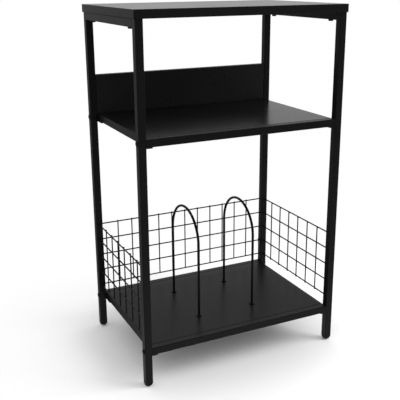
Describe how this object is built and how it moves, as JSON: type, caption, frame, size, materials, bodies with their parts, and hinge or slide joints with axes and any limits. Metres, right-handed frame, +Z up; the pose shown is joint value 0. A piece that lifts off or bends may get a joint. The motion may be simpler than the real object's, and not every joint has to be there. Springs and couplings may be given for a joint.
{
  "type": "turntable stand",
  "caption": "Open steel-tube stand with a top board, a middle shelf with a low back panel, and a low record shelf with wire mesh guards and bent-rod dividers.",
  "frame": {"origin": "on the floor, under the middle of the stand", "axes": "+Z up, +X to the right along the width, -Y out of the front"},
  "size_m": [0.5, 0.341, 0.815],
  "materials": {
    "board": "black melamine face, satin",
    "frame_steel": "black powder coat, satin",
    "wire": "black powder coat, satin",
    "bolt": "black oxide",
    "foot": "moulded black plastic",
    "zinc": "zinc plated"
  },
  "bodies": {
    "root": {"top_board": "board", "mid_shelf_board": "board", "low_shelf_board": "board", "back_panel": "board", "front_left_post": "frame_steel", "front_right_post": "frame_steel", "rear_left_post": "frame_steel", "rear_right_post": "frame_steel", "left_top_rail": "frame_steel", "right_top_rail": "frame_steel", "mid_front_crossbar": "frame_steel", "mid_rear_crossbar": "frame_steel", "low_front_crossbar": "frame_steel", "low_rear_crossbar": "frame_steel", "mid_corner_plates": "frame_steel", "low_corner_plates": "frame_steel", "back_mesh_tabs": "frame_steel", "left_mesh": "wire", "right_mesh": "wire", "back_mesh": "wire", "left_divider": "wire", "right_divider": "wire", "divider_collars": "wire", "front_left_foot": "foot", "front_right_foot": "foot", "rear_left_foot": "foot", "rear_right_foot": "foot", "mid_frame_bolts": "bolt", "low_frame_bolts": "bolt", "divider_washers": "zinc", "divider_nuts": "zinc", "mid_bar_inserts": "zinc", "low_bar_inserts": "zinc", "mid_shelf_screws": "zinc", "low_shelf_screws": "zinc", "top_board_screws": "zinc", "panel_screws": "zinc", "back_mesh_screws": "zinc"}
  },
  "joints": []
}
